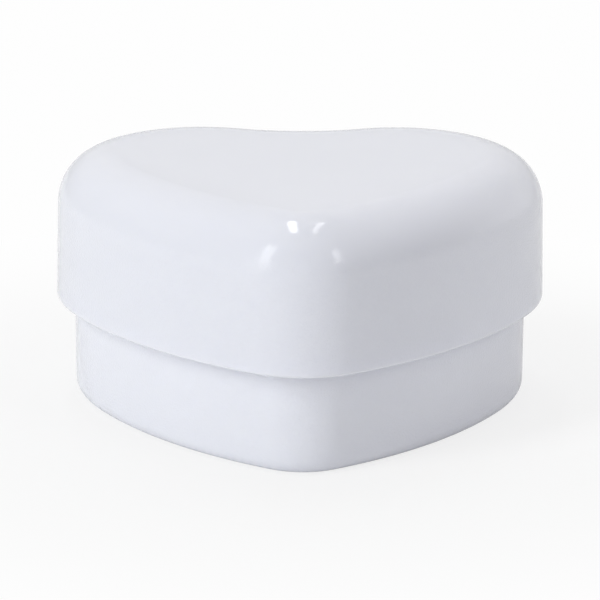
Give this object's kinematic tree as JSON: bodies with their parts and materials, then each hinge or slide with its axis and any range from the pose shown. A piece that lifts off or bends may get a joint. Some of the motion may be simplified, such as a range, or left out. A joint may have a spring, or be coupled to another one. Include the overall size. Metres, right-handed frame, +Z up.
{
  "type": "pill box",
  "caption": "Heart-shaped plastic pill box: a deep pull-off lid with a pillowed edge sits over a slightly smaller base, which an upright divider splits into compartments.",
  "frame": {"origin": "underside of the foot ring, below the centre of the plan's bounding box", "axes": "+Z up and along the lid's slide, +X across the heart's width, -Y towards the heart's point, +Y towards its cleft"},
  "size_m": [0.048, 0.0446, 0.0242],
  "materials": {
    "lid_plastic": "cool white, polished top and pillowed edge, fine spark-eroded satin on the skirt",
    "base_plastic": "cool white, fine spark-eroded satin outside, semi-gloss inside",
    "divider_plastic": "cool white, satin"
  },
  "bodies": {
    "base": {"base_shell": "base_plastic", "divider": "divider_plastic"},
    "lid": {"lid_shell": "lid_plastic"}
  },
  "joints": [
    {"name": "lid_lift", "type": "slide", "parent": "base", "child": "lid", "axis": [0, 0, 1], "range_m": [0, 0.012]}
  ]
}
